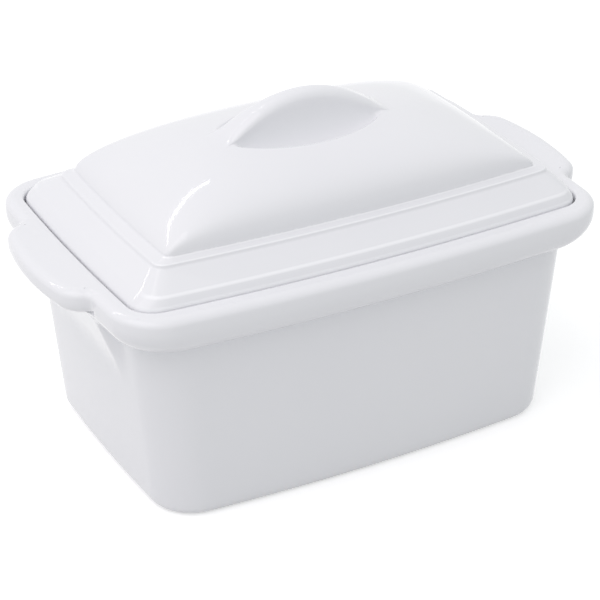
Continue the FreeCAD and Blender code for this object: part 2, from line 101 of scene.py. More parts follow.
def outline_point(shape, turn):
    """The point of an outline's first quarter that faces the direction turn, from 0 to a right angle."""
    half_length, half_width, corner = shape
    long_radius, end_radius = side_radii(*shape)
    if turn < BOW_END:
        centre, radius = (half_length - end_radius, 0), end_radius
    elif turn <= math.pi / 2 - BOW_LONG:
        centre = ((long_radius - corner) * math.sin(BOW_LONG), (end_radius - corner) * math.sin(BOW_END))
        radius = corner
    else:
        centre, radius = (0, half_width - long_radius), long_radius
    return centre[0] + radius * math.cos(turn), centre[1] + radius * math.sin(turn)


def shrunk(shape, inset):
    return tuple(value - inset for value in shape)


print("radii of the rim's sides", [round(radius) for radius in side_radii(*RIM)], "mm")

# %% [markdown]
# ## The rim with its lug handles
#
# Seen from above, each end of the rim swells into a lug handle: a gently bowed face, two round corners, and
# a small hollow notch on each side where the handle runs back into the rim. They are arcs again.
# Each arc gives points with the direction they face, so the rim's edge can be rounded evenly all the way:
# a smaller copy of the outline is every point moved back along its own direction.
#
# One quarter is drawn and then mirrored, which keeps the two sides alike to the last digit.

# %% Arcs seen from above
def meeting_point(first, first_radius, second, second_radius):
    """Where two circles meet, on the right-hand side of the way from the first centre to the second."""
    gap_x, gap_y = second[0] - first[0], second[1] - first[1]
    gap = math.hypot(gap_x, gap_y)
    along = (gap ** 2 + first_radius ** 2 - second_radius ** 2) / (2 * gap)
    aside = math.sqrt(first_radius ** 2 - along ** 2)
    return (first[0] + (along * gap_x + aside * gap_y) / gap,
            first[1] + (along * gap_y - aside * gap_x) / gap)


def direction(start, target):
    return math.atan2(target[1] - start[1], target[0] - start[0])


def arc_points(centre, radius, first, last, steps, hollow=False):
    """Points along an arc with the way each one faces: outwards, or inwards on a hollow arc."""
    points = []
    for step in range(steps):
        turn = first + (last - first) * step / steps
        sign = -1 if hollow else 1
        points.append((centre[0] + radius * math.cos(turn), centre[1] + radius * math.sin(turn),
                       sign * math.cos(turn), sign * math.sin(turn)))
    return points


print("two circles of radius 5, 8 apart, meet at", meeting_point((0, 0), 5, (8, 0), 5))

# %% [markdown]
# ## A quarter of the rim
#
# The centres of the arcs follow from their radii: two arcs run smoothly into each other where their centres
# and the point between them lie on one line. Corner and notch get many short steps, the long side few long
# ones.

# %% The quarter plan of the rim
FACE_STEPS, LOBE_STEPS, NOTCH_STEPS = 16, 24, 12
END_STEPS, CORNER_STEPS, LONG_STEPS = 6, 24, 20


def rim_quarter():
    """Points (x, y, facing x, facing y) from the middle of a handle to the middle of a long side,
    each with the share of the handle in it."""
    end_radius = side_radii(*RIM)[1]
    end_centre = (RIM[0] - end_radius, 0)
    notch_y = NOTCH_SPREAD / 2
    notch_centre = (end_centre[0] + math.sqrt((end_radius + NOTCH_ROUND) ** 2 - notch_y ** 2), notch_y)
    face_centre = (RIM[0] + HANDLE_REACH - HANDLE_FACE, 0)
    lobe_centre = meeting_point(face_centre, HANDLE_FACE - HANDLE_CORNER,
                                notch_centre, HANDLE_CORNER + NOTCH_ROUND)
    face_turn, lobe_turn = direction(face_centre, lobe_centre), direction(lobe_centre, notch_centre)
    notch_turn = direction(end_centre, notch_centre)
    face = arc_points(face_centre, HANDLE_FACE, 0, face_turn, FACE_STEPS)
    lobe = arc_points(lobe_centre, HANDLE_CORNER, face_turn, lobe_turn, LOBE_STEPS)
    notch = arc_points(notch_centre, NOTCH_ROUND, math.pi + lobe_turn, math.pi + notch_turn,
                       NOTCH_STEPS, hollow=True)
    corner_turn = math.pi / 2 - BOW_LONG - BOW_END
    turns = [notch_turn + (BOW_END - notch_turn) * step / END_STEPS for step in range(END_STEPS)]
    turns += [BOW_END + corner_turn * step / CORNER_STEPS for step in range(CORNER_STEPS)]
    turns += [math.pi / 2 - BOW_LONG + BOW_LONG * step / LONG_STEPS for step in range(LONG_STEPS + 1)]
    rest = [(*outline_point(RIM, turn), math.cos(turn), math.sin(turn)) for turn in turns]
    shares = [1] * len(face + lobe) + [1 - step / len(notch) for step in range(len(notch))] + [0] * len(rest)
    return list(zip(face + lobe + notch + rest, shares))


quarter = rim_quarter()
print(len(quarter), "points in a quarter of the rim")

# %% [markdown]
# ## From outlines to a mesh
#
# A casting could be carved with Booleans, but rounded edges are then hard to get. Here every piece is a net:
# rows of points, one row for each level of the profile, and one column for each direction of the outline.
# Joining neighbours gives clean four-sided faces that follow the form, and an edge is as round as the rows
# that run along it.

# %% Helpers for nets
def all_round(points):
    """Mirror a quarter's points (x, y) from the right-hand end to the middle of the back into a full ring."""
    back_left = [(-x, y) for x, y in reversed(points[:-1])]
    half = points + back_left
    return half + [(-x, -y) for x, y in half[1:-1]]


def quarter_turns(steps):
    """Turns from 0 to a right angle for rounding an edge."""
    return [math.pi / 2 * step / steps for step in range(steps + 1)]


def net_mesh(name, rows):
    """A closed mesh from rings of points (x, y, z) in millimetres, each joined to the next."""
    count = len(rows[0])
    points = [point for row in rows for point in row]
    faces = []
    for row in range(len(rows) - 1):
        for column in range(count):
            near, far = row * count + column, row * count + (column + 1) % count
            faces.append((near, far, far + count, near + count))
    # The first and the last ring are closed by a fan round their middle
    for row, turned in ((0, True), (len(rows) - 1, False)):
        middle = len(points)
        points.append((0, 0, rows[row][0][2]))
        for column in range(count):
            pair = (row * count + column, row * count + (column + 1) % count)
            faces.append((*(reversed(pair) if turned else pair), middle))
    mesh = bpy.data.meshes.new(name)
    mesh.from_pydata([tuple(value * MM for value in point) for point in points], [], faces)
    mesh.validate()
    mesh.shade_smooth()
    return mesh


def merge_doubles(mesh):
    nearly_nothing = 0.00001
    work = bmesh.new()
    work.from_mesh(mesh)
    bmesh.ops.remove_doubles(work, verts=work.verts, dist=nearly_nothing)
    bmesh.ops.dissolve_degenerate(work, edges=work.edges, dist=nearly_nothing)
    bmesh.ops.recalc_face_normals(work, faces=work.faces)
    work.to_mesh(mesh)
    work.free()


print("a rounded edge of 8 steps turns", round(math.degrees(quarter_turns(8)[1]), 1), "degrees at each row")

# %% [markdown]
# ## The dish
#
# The profile is followed as a finger would: from the foot, up the drafted wall, round the rolled rim, down
# into the rebate where the lid sits, and down inside to the floor. Where a handle stands, the rows run out
# along its underside, round its edge and back over its top instead, so rim and handle are one skin.

# %% Rows of the dish
def wall_shape(level, inset=0):
    share = level / NECK_LEVEL
    return tuple(low + (high - low) * share - inset for low, high in zip(FOOT, NECK))


def mixed(first, second, share):
    return tuple(a + (b - a) * share for a, b in zip(first, second))


FACE_END = 0.35     # a handle's face ends where its points turn aside more than this


def plain_turns():
    """For each column of the rim, the direction that its points on a plain outline face."""
    end_radius = side_radii(*RIM)[1]
    handle = [point for point, share in quarter if share > 0]
    face_end = max(index for index, (x, y, face_x, face_y) in enumerate(handle) if face_y < FACE_END)
    first, last = handle[face_end][1], quarter[len(handle)][0][1]
    turns = []
    for column, ((x, y, face_x, face_y), share) in enumerate(quarter):
        if share == 0:
            turns.append(math.atan2(face_y, face_x))
            continue
        if column > face_end:
            y = first + (last - first) * (column - face_end) / (len(handle) - face_end)
        turns.append(math.asin(y / end_radius))
    return turns


turns = plain_turns()


def plain_row(shape, level):
    return [(*point, level) for point in all_round([outline_point(shape, turn) for turn in turns])]


def rim_row(inset, level):
    points = [(x - face_x * inset, y - face_y * inset) for (x, y, face_x, face_y), share in quarter]
    return [(*point, level) for point in all_round(points)]


handle_shares = [abs(x) for x, y in all_round([(share, 0) for point, share in quarter])]


def blended(plain, handled):
    """The handled row at the handles and the plain one elsewhere."""
    return [mixed(a, b, share) for a, b, share in zip(plain, handled, handle_shares)]


print("each row has", len(handle_shares), "points")

# %% [markdown]
# ## Foot and wall
#
# The foot is only a soft edge round a flat underside, because a glazed dish of this kind stands on its whole
# base. Above it the wall drafts outwards. Rows lie closer where the brackets grow out of it.

# %% From the foot up the wall
WALL_LEVELS = (4.5, 8, 16, 24, 32, 37)
BRACKET_START, BRACKET_ROWS = 39.5, 17


def foot_and_wall():
    rows = [plain_row(shrunk(FOOT, inset), 0) for inset in (12, FOOT_ROUND + 1.5)]
    for turn in quarter_turns(8):
        level = FOOT_ROUND * (1 - math.cos(turn))
        rows.append(plain_row(wall_shape(level, FOOT_ROUND * (1 - math.sin(turn))), level))
    bracket_levels = [BRACKET_START + (NECK_LEVEL - BRACKET_START) * step / (BRACKET_ROWS - 1)
                      for step in range(BRACKET_ROWS)]
    return rows + [plain_row(wall_shape(level), level) for level in (*WALL_LEVELS, *bracket_levels)]


outside = foot_and_wall()
print(len(outside), "rows up to the neck")

# %% [markdown]
# ## The rolled underside of the rim
#
# The wall runs out into the rim in a quarter roll. At the handles the same rows leave the roll at the level
# of the handles' underside, go straight out below them and turn round their lower edge.

# %% Under the rim and the handles
ROLL_RISE = LIP_LEVEL + LIP_UNDER_ROUND - NECK_LEVEL
ROLL_MEET = math.acos(1 - (LIP_LEVEL - NECK_LEVEL) / ROLL_RISE)      # its turn at the handles' underside
ROLL_SHARES = (0.03, 0.1, 0.2, 0.35, 0.5, 0.65, 0.8, 0.92, 1)
OUT_STEPS, UNDER_STEPS = 5, 8


def roll_row(turn):
    return plain_row(mixed(NECK, RIM, math.sin(turn)), NECK_LEVEL + ROLL_RISE * (1 - math.cos(turn)))


def underside():
    rows = [roll_row(ROLL_MEET * share) for share in ROLL_SHARES]
    start, edge = rows[-1], rim_row(LIP_UNDER_ROUND, LIP_LEVEL)
    last = OUT_STEPS + UNDER_STEPS
    for step in range(1, last + 1):
        plain = roll_row(ROLL_MEET + (math.pi / 2 - ROLL_MEET) * step / last)
        if step <= OUT_STEPS:
            handled = [mixed(a, b, step / OUT_STEPS) for a, b in zip(start, edge)]
        else:
            turn = math.pi / 2 * (step - OUT_STEPS) / UNDER_STEPS
            handled = rim_row(LIP_UNDER_ROUND * (1 - math.sin(turn)),
                              LIP_LEVEL + LIP_UNDER_ROUND * (1 - math.cos(turn)))
        rows.append(blended(plain, handled))
    return rows


outside += underside()
print("the roll rises", round(ROLL_RISE, 2), "mm from the neck to the rim's widest line")

# %% [markdown]
# ## Over the rim and down inside
#
# The rim's top edge is rounder across than down its face. Inside it the rebate is an upright little wall over
# a level seat for the lid, and from the seat the inner wall goes down parallel to the outer one.

# %% Rim, rebate and inside
REBATE_ROUND, SEAT_ROUND = 0.8, 1.2
INNER_LEVELS = (62, 50, 36, 22, 14)


def rim_and_rebate():
    rows = [rim_row(LIP_ROUND[0] * (1 - math.cos(turn)), TOP_LEVEL - LIP_ROUND[1] * (1 - math.sin(turn)))
            for turn in quarter_turns(8)]
    outer, inner = rows[-1], plain_row(shrunk(REBATE, -REBATE_ROUND), TOP_LEVEL)
    rows += [[mixed(a, b, share) for a, b in zip(outer, inner)] for share in (0.12, 0.5, 0.88)]
    for turn in quarter_turns(4):
        rows.append(plain_row(shrunk(REBATE, -REBATE_ROUND * (1 - math.sin(turn))),
                              TOP_LEVEL - REBATE_ROUND * (1 - math.cos(turn))))
    for turn in quarter_turns(4):
        rows.append(plain_row(shrunk(REBATE, REBATE_ROUND * (1 - math.cos(turn))),
                              SEAT_LEVEL + REBATE_ROUND * (1 - math.sin(turn))))
    return rows


def seat_and_inside():
    rows = [plain_row(mixed(REBATE, wall_shape(SEAT_LEVEL, WALL), 0.5), SEAT_LEVEL)]
    for turn in quarter_turns(4):
        rows.append(plain_row(wall_shape(SEAT_LEVEL, WALL - SEAT_ROUND * (1 - math.sin(turn))),
                              SEAT_LEVEL - SEAT_ROUND * (1 - math.cos(turn))))
    rows += [plain_row(wall_shape(level, WALL), level) for level in INNER_LEVELS]
    for turn in quarter_turns(8):
        level = FLOOR + FLOOR_ROUND * (1 - math.sin(turn))
        rows.append(plain_row(wall_shape(level, WALL + FLOOR_ROUND * (1 - math.cos(turn))), level))
    return rows + [plain_row(wall_shape(FLOOR, WALL + FLOOR_ROUND + 9), FLOOR)]


rows = outside + rim_and_rebate() + seat_and_inside()
dish_mesh = net_mesh("dish_casting", rows)
merge_doubles(dish_mesh)
print("dish net:", len(rows), "rows of", len(rows[0]), "points")

# %% [markdown]
# ## Fields for Geometry Nodes
#
# A rule with many terms is hard to read as loose Math nodes. This small class lets a node socket be added,
# multiplied and so on like a number, and places the Math node for each step. The tree stays an ordinary tree,
# with its sizes as named inputs that can be changed in the modifier.

# %% A socket that can be calculated with
class Field:
    def __init__(self, tree, value):
        self.tree, self.value = tree, value

    def worked(self, operation, *others):
        node = self.tree.nodes.new("ShaderNodeMath")
        node.operation = operation
        for socket, source in zip(node.inputs, (self, *others)):
            value = source.value if isinstance(source, Field) else source
            if isinstance(value, (int, float)):
                socket.default_value = value
            else:
                self.tree.links.new(value, socket)
        return Field(self.tree, node.outputs[0])

    def __add__(self, other):
        return self.worked("ADD", other)

    def __sub__(self, other):
        return self.worked("SUBTRACT", other)

    def __mul__(self, other):
        return self.worked("MULTIPLY", other)

    def __truediv__(self, other):
        return self.worked("DIVIDE", other)

    def __pow__(self, other):
        return self.worked("POWER", other)

    def __rsub__(self, other):
        return Field(self.tree, other).worked("SUBTRACT", self)

    def __rtruediv__(self, other):
        return Field(self.tree, other).worked("DIVIDE", self)


print("fields know", [name for name in vars(Field) if not name.startswith("__")], "and the usual signs")

# %% [markdown]
# ## Trees with named sizes
#
# Every tree here starts alike, with a number input for each size and one for the finish, and ends alike: the
# points move to their new places, instances become real, and the finish is set on all faces.

# %% Start and end of a tree
def new_tree(name, sizes):
    """A geometry tree with one named number input for each size and a material input."""
    tree = bpy.data.node_groups.new(name, "GeometryNodeTree")
    tree.interface.new_socket("Geometry", in_out="OUTPUT", socket_type="NodeSocketGeometry")
    tree.interface.new_socket("Geometry", in_out="INPUT", socket_type="NodeSocketGeometry")
    for size_name, value in sizes.items():
        socket = tree.interface.new_socket(size_name, in_out="INPUT", socket_type="NodeSocketFloat")
        socket.default_value = value
    tree.interface.new_socket("Finish", in_out="INPUT", socket_type="NodeSocketMaterial")
    inputs = tree.nodes.new("NodeGroupInput")
    fields = {size_name: Field(tree, inputs.outputs[size_name]) for size_name in sizes}
    return tree, inputs, fields


def place_axes(tree):
    """The position of each point as three fields, in millimetres."""
    position = tree.nodes.new("GeometryNodeInputPosition")
    split = tree.nodes.new("ShaderNodeSeparateXYZ")
    tree.links.new(position.outputs[0], split.inputs[0])
    return [Field(tree, output) * (1 / MM) for output in split.outputs]


def named_field(tree, name):
    node = tree.nodes.new("GeometryNodeInputNamedAttribute")
    node.data_type = "FLOAT"
    node.inputs["Name"].default_value = name
    return Field(tree, node.outputs["Attribute"])


def end_tree(tree, inputs, x, y, z):
    """Move the points to x, y, z in millimetres, make everything real and give it its finish."""
    join = tree.nodes.new("ShaderNodeCombineXYZ")
    for socket, field in zip(join.inputs, (x, y, z)):
        tree.links.new((field * MM).value, socket)
    move = tree.nodes.new("GeometryNodeSetPosition")
    real = tree.nodes.new("GeometryNodeRealizeInstances")
    finish = tree.nodes.new("GeometryNodeSetMaterial")
    out = tree.nodes.new("NodeGroupOutput")
    tree.links.new(inputs.outputs["Geometry"], move.inputs["Geometry"])
    tree.links.new(join.outputs[0], move.inputs["Position"])
    tree.links.new(move.outputs[0], real.inputs[0])
    tree.links.new(real.outputs[0], finish.inputs["Geometry"])
    tree.links.new(inputs.outputs["Finish"], finish.inputs["Material"])
    tree.links.new(finish.outputs[0], out.inputs[0])


print("a tree works in millimetres and gives metres, times", MM)

# %% [markdown]
# ## From a tree to a plain mesh
#
# The modifier does its work once: its result is copied into a plain mesh and the modifier goes away, so the
# casting needs nothing else to be what it is. The finish is put in by the socket's identifier beforehand.

# %% Run a tree
def run_tree(mesh, tree, material):
    """Put a mesh through a tree and give back the plain object that comes out."""
    holder = bpy.data.objects.new(mesh.name, mesh)
    bpy.context.scene.collection.objects.link(holder)
    modifier = holder.modifiers.new(tree.name, "NODES")
    modifier.node_group = tree
    for item in tree.interface.items_tree:
        if item.in_out == "INPUT" and item.name == "Finish":
            modifier[item.identifier] = material
    graph = bpy.context.evaluated_depsgraph_get()
    made = bpy.data.meshes.new_from_object(holder.evaluated_get(graph), depsgraph=graph)
    holder.modifiers.clear()
    holder.data = made
    return holder


print("the first net for a tree is", dish_mesh.name)

# %% [markdown]
# ## The brackets under the handles
#
# A lug that stood out alone would sag in the kiln, so the end walls swell into a wedge beneath each handle.
# The swell follows one rule, a sloping plane with soft sides, and Geometry Nodes add it to the finished wall:
# each point of the wall moves out to the plane where the plane is further out.

# %% The bracket swell
def swelling_tree(sizes):
    tree, inputs, size = new_tree("bracket_swell", sizes)
    x, y, z = place_axes(tree)
    side = x.worked("SIGN")
    plane = size["Top Reach"] - (size["Top Level"] - z) * size["Slope"]
    out = x.worked("ABSOLUTE")
    swollen = out.worked("SMOOTH_MAX", plane, size["Softness"])
    ease = (size["Half Width"] - y.worked("ABSOLUTE")) / size["Side Round"]
    ease = (ease + 0.5).worked("MINIMUM", 1).worked("MAXIMUM", 0)
    ease = ease * ease * (3 - ease * 2)
    below = z.worked("LESS_THAN", size["Top Level"])
    outside = named_field(tree, "outer_skin")
    new_x = side * (out + (swollen - out) * ease * below * outside)
    end_tree(tree, inputs, new_x, y, z)
    return tree


bracket_reach = RIM[0] + HANDLE_REACH - BRACKET_INSET
bracket_top = LIP_LEVEL + 1                       # a little inside the handle, so that nothing shows between
bracket_run = bracket_reach - (wall_shape(BRACKET_FOOT)[0] - 1)
bracket_rise = bracket_top - BRACKET_FOOT
swell = swelling_tree({
    "Top Reach": bracket_reach, "Top Level": bracket_top, "Slope": bracket_run / bracket_rise,
    "Softness": 2.0, "Half Width": BRACKET_WIDTH / 2, "Side Round": 6.0,
})
print("the bracket leans out by", round(math.degrees(math.atan2(bracket_run, bracket_rise)), 1), "degrees")

# %% [markdown]
# ## The lid's plan
#
# The lid is a shallow plug with three soft terraces and a hipped dome. Its sizes are heights above the table
# and insets from the edge that fills the rebate. The corners grow tighter from terrace to terrace.

# %% Sizes of the lid
LID_EDGE = (75.2, 47.0, 8.0)
DOME_SHAPE = (63.0, 35.2, 2.4)
OFF_CENTRE = 1.7                           # how far the upper terraces and the dome lean to the right
DOME_FOOT, DOME_RISE = 82.75, 16.7
END_CURVE, END_FALL = 3.1, 0.77            # powers of the dome's fall towards its ends
SIDE_CURVE, SIDE_FALL = 1.5, 0.30          # and towards its long sides
RECESS_RADII, RECESS_LEVEL, RECESS_MIDDLE = (28.7, 16.3, 11.5), 102.45, -0.2
RECESS_EDGE = (27.4, 15.0)                 # half length and half width where the recess meets the dome
BRIDGE_HALF, BRIDGE_TOP, BRIDGE_FALL = 29.0, 109.05, 12.2
BRIDGE_WAIST, BRIDGE_END = 3.7, 5.8        # half widths at the middle and at the ends
BRIDGE_ROUND = 3.3
FLANGE_LEVEL, FLANGE_WIDTH, FLANGE_BACK = 69.0, 9.0, 71.0
HOLLOW_LEVEL, MOUTH_CORNER = 87.0, 9.0
print("the lid stands", round(BRIDGE_TOP - TOP_LEVEL, 2), "mm above the rim")

# %% [markdown]
# ## A net for the crown of the lid
#
# The crown's rule gives one height for each place seen from above, so its net can be laid flat and lifted.
# What matters is where the lines run: close together where the dome turns steep at its foot, and along the
# bridge and the rim of the finger recess, so that those edges come out as clean lines and not as stairs.
# Each point also remembers how far along and across the dome it lies, which the rule reads later.

# %% Where the crown's lines meet its edge
def along_share(height):
    return (1 - height ** (1 / END_FALL)) ** (1 / END_CURVE)


def across_share(height):
    return (1 - height ** (1 / SIDE_FALL)) ** (1 / SIDE_CURVE)


def turn_at(value, axis):
    """The direction faced where the dome's foot reaches a given x (axis 0) or y (axis 1)."""
    low, high = (math.pi / 4, math.pi / 2) if axis == 0 else (0, math.pi / 4)
    for _ in range(50):
        middle = (low + high) / 2
        past = outline_point(DOME_SHAPE, middle)[axis] < value
        low, high = (low, middle) if past == (axis == 0) else (middle, high)
    return (low + high) / 2


def end_x(y):
    return outline_point(DOME_SHAPE, turn_at(y, 1))[0]


def side_y(x):
    return outline_point(DOME_SHAPE, turn_at(x, 0))[1]


CORNER_POINT = outline_point(DOME_SHAPE, math.pi / 4)
print("the dome's foot turns its corner at", [round(value, 1) for value in CORNER_POINT], "mm")

# %% [markdown]
# ## The lines of the crown
#
# Rows run along the lid: over the bridge's back, down its hollow side, through the recess and its edge, and
# down the dome. Columns run across it and crowd together at its steep ends. A row carries two notes for the
# bridge: how much of the bridge's height it has, and how far it drops for the bridge's rounded shoulder.

# %% Laying out the crown
FLANK_CLEAR, FLANK_FOOT = 4.5, 2.6      # a flank's least width, and how far before the recess's edge it ends
COLUMN_HEIGHTS = (0, 0.015, 0.04, 0.09, 0.15, 0.22, 0.3, 0.38, 0.46, 0.54)
ROW_HEIGHTS = (0.975, 0.95, 0.92, 0.88, 0.83, 0.77, 0.7, 0.62, 0.54, 0.46,
               0.38, 0.3, 0.22, 0.14, 0.07, 0.02, 0)
EVEN_COLUMNS = 84


def crown_rows(x):
    """For a cut across the lid at x: (share of the half width, share of the bridge's height, drop in mm)."""
    half = side_y(x)
    waist = BRIDGE_WAIST + (BRIDGE_END - BRIDGE_WAIST) * min(x / BRIDGE_HALF, 1) ** 2
    recess = RECESS_EDGE[1] * math.sqrt(max(1 - (x / RECESS_EDGE[0]) ** 2, 0))
    edge = max(recess, waist + FLANK_CLEAR)
    foot = edge - FLANK_FOOT
    rows = [((waist - BRIDGE_ROUND) * share, 1, 0) for share in (0, 0.5, 1)]
    for turn in quarter_turns(7)[1:]:
        rows.append((waist - BRIDGE_ROUND * (1 - math.sin(turn)), 1, BRIDGE_ROUND * (1 - math.cos(turn))))
    # The hollow side of the bridge, upright at its top and level at its foot
    for turn in quarter_turns(14)[1:]:
        share = 1 - math.sin(turn)
        rows.append((waist + (foot - waist) * (1 - math.cos(turn)), share, BRIDGE_ROUND * share))
    rows += [(foot + step, 0, 0) for step in (0.45, 0.9, 1.3)]
    rows += [(edge + step, 0, 0) for step in (-0.9, -0.6, -0.3, 0, 0.3, 0.6, 0.9, 1.3)]
    rows = [(y / half, share, drop) for y, share, drop in rows]
    last_height = (1 - rows[-1][0] ** SIDE_CURVE) ** SIDE_FALL
    return rows + [(across_share(last_height * height), 0, 0) for height in ROW_HEIGHTS]


def crown_net():
    """Points of a quarter of the crown: (x, y, along, across, share of the bridge, drop)."""
    columns = [along_share(height) for height in COLUMN_HEIGHTS]
    columns += [columns[-1] * (EVEN_COLUMNS - step) / EVEN_COLUMNS for step in range(1, EVEN_COLUMNS + 1)]
    last = [across for across, share, drop in crown_rows(CORNER_POINT[0])]
    net = []
    for along in reversed(columns):
        cut = along * CORNER_POINT[0]
        half = side_y(cut)
        points = []
        for final, (across, share, drop) in zip(last, crown_rows(cut)):
            points.append((along * end_x(final * CORNER_POINT[1]), across * half, along, across, share, drop))
        net.append(points)
    return net


net = crown_net()
print("crown net:", len(net), "by", len(net[0]), "points in a quarter")

# %% [markdown]
# ## The lid's terraces and underside
#
# Around the crown the lid is a profile carried round its outline, like the dish. The profile is written as
# corners with a radius at each one, and a helper turns every corner into a small arc: that is the glaze
# flowing over the edges and gathering in the grooves.

# %% The profile of the terraces
GUARD = 0.3                        # a row this far from a curve keeps the flat beside it flat in the light
CURVE_STEPS = 6
# For each corner of the profile: half length, half width, corner radius, level, lean to the right, reach
TERRACES = [
    (*DOME_SHAPE, DOME_FOOT, OFF_CENTRE, 0),
    (66.9, 37.5, 3.4, 81.75, OFF_CENTRE, 0.35),
    (67.2, 37.8, 4.0, 80.8, OFF_CENTRE, 0.35),
    (72.4, 45.4, 6.2, 76.4, 0.7, 0.7),
    (*LID_EDGE, 73.5, 0, 1.0),
    (*LID_EDGE, FLANGE_LEVEL, 0, 1.0),
    (*shrunk(LID_EDGE, FLANGE_WIDTH)[:2], MOUTH_CORNER, FLANGE_LEVEL, 0, 1.0),
    (*shrunk(LID_EDGE, FLANGE_WIDTH + 1)[:2], MOUTH_CORNER, FLANGE_BACK, 0, 1.0),
]


def flat(first, second, share):
    """A point on the way from one corner to another that carries no edge line."""
    return (*mixed(first, second, share)[:-1], 0)


def step_apart(first, second):
    """Distance between two corners of the profile, seen across the lid."""
    return math.hypot(second[1] - first[1], second[3] - first[3])


def curve_end(corner, other):
    """Where a corner's curve ends towards another corner, and the guarding row beside it if it has room."""
    length = step_apart(corner, other)
    reach = min(corner[-1], length / 2)
    guards = [flat(corner, other, (reach + GUARD) / length)] if reach + GUARD < length / 2 else []
    return mixed(corner, other, reach / length), guards


def softened(corners):
    """
    Points along a bent line of corners, with each inner corner (its last number a reach) drawn as a curve.
    The last number of each point is 1 on the crest of an edge and falls to 0 beside it; it places a painted
    highlight line.
    """
    guard = GUARD / step_apart(corners[0], corners[1])
    points = [flat(corners[0], corners[1], guard * share) for share in (0, 1, 2.5)]
    points[1] = (*points[1][:-1], 1)
    for before, corner, after in zip(corners, corners[1:], corners[2:]):
        (entry, guards_before), (leave, guards_after) = curve_end(corner, before), curve_end(corner, after)
        turning = ((corner[1] - before[1]) * (after[3] - corner[3])
                   - (after[1] - corner[1]) * (corner[3] - before[3]))
        crest = 0 if turning > 0 else 1
        curve = []
        for step in range(CURVE_STEPS + 1):
            share = step / CURVE_STEPS
            point = mixed(mixed(entry, corner, share), mixed(corner, leave, share), share)
            curve.append((*point[:-1], 4 * share * (1 - share) * crest))
        points += [*guards_before, *curve, *guards_after]
    return points + [flat(corners[-1], corners[-1], 0)]


profile = softened(TERRACES)
print(len(profile), "levels from the dome's foot to the hollow")

# %% [markdown]
# ## One net for the whole lid
#
# Crown, terraces and the hollow underneath are one casting, so they share one net of points. Each point of
# the crown also remembers where it lies, and the tree of the next step raises it from that. Points on the
# crests of the terraces are marked, and a painted highlight line is drawn along them.

# %% Crown, terraces and hollow
# The last layer marks where painted highlight lines are drawn on the terraces' crests
VERTEX_LAYERS = ("along", "across", "bridge_share", "bridge_drop", "crown", "off_centre", "painted_highlight_line")


def crown_faces(work, layers):
    """The crown, still flat, from four mirrored quarters of its net."""
    for sign_x, sign_y in ((1, 1), (-1, 1), (-1, -1), (1, -1)):
        grid = []
        for points in net:
            column = []
            for x, y, *values in points:
                vertex = work.verts.new((sign_x * x * MM, sign_y * y * MM, DOME_FOOT * MM))
                for layer, value in zip(layers, (*values, 1.0, OFF_CENTRE * max(values[:2]) ** 2, 0.0)):
                    vertex[layer] = value
                column.append(vertex)
            grid.append(column)
        for near, far in zip(grid, grid[1:]):
            for low in range(len(near) - 1):
                work.faces.new((near[low], far[low], far[low + 1], near[low + 1]))


def hollow_levels():
    """Rings inside the hollow, written like the profile: its wall curves over into a flat top."""
    steps = [(0.9 + 7.5 * share ** 2, FLANGE_BACK + (HOLLOW_LEVEL - FLANGE_BACK) * share)
             for share in (0.35, 0.65, 0.85)]
    steps += [(10.5, 86.4), (13, HOLLOW_LEVEL), (21, HOLLOW_LEVEL)]
    return [(LID_EDGE[0] - FLANGE_WIDTH - inset, LID_EDGE[1] - FLANGE_WIDTH - inset, MOUTH_CORNER,
             level, 0, 0) for inset, level in steps]


def ring_faces(work, lean_layer, highlight_layer):
    """The rings from the crown's edge to the hollow's top, with one point below each point of that edge."""
    facing = [turn_at(point[1], 1) for point in net[-1]]
    facing += [turn_at(column[-1][0], 0) for column in reversed(net[:-1])]
    facing[0], facing[-1] = 0, math.pi / 2
    # Painted highlight lines are strongest along the long sides and fade out round the ends
    highlight_shares = [abs(share) for _, share in all_round([(0, math.sin(turn)) for turn in facing])]
    rings = []
    for *shape, level, lean, line in profile + hollow_levels():
        places = all_round([outline_point(shape, turn) for turn in facing])
        rings.append([work.verts.new((x * MM, y * MM, level * MM)) for x, y in places])
        for vertex, share in zip(rings[-1], highlight_shares):
            vertex[lean_layer] = lean
            vertex[highlight_layer] = line * share
    for near, far in zip(rings, rings[1:]):
        for column in range(len(near)):
            beside = (column + 1) % len(near)
            work.faces.new((near[column], near[beside], far[beside], far[column]))
    middle, last = work.verts.new((0, 0, HOLLOW_LEVEL * MM)), rings[-1]
    for column in range(len(last)):
        work.faces.new((last[column], last[(column + 1) % len(last)], middle))


def lid_start():
    """The lid with a flat crown, and what each of its points knows."""
    work = bmesh.new()
    layers = [work.verts.layers.float.new(name) for name in VERTEX_LAYERS]
    crown_faces(work, layers)
    ring_faces(work, *layers[-2:])
    bmesh.ops.remove_doubles(work, verts=work.verts, dist=0.000002)
    bmesh.ops.recalc_face_normals(work, faces=work.faces)
    mesh = bpy.data.meshes.new("lid_casting")
    work.to_mesh(mesh)
    work.free()
    mesh.shade_smooth()
    return mesh


lid_mesh = lid_start()
print("lid net:", len(lid_mesh.vertices), "points,", len(lid_mesh.polygons), "faces")

# %% [markdown]
# ## Raising the crown
#
# The dome's height is a product of two falls, one along the lid and one across it, so it is steep at the long
# sides, gentle at the ends and hipped where the two meet. An oval bowl is pressed into its top for the
# fingers, and a bridge with a drooping top line and a narrow waist stands over the bowl as the grip.
# Smooth minimum and maximum nodes join these rules without a crease, as a thumb would in wet clay.

# %% The tree that raises the crown
BOWL_WALL = 40              # how steeply the rule for the bowl climbs outside it, well above the dome
BRIDGE_FADE = BRIDGE_ROUND + 0.5


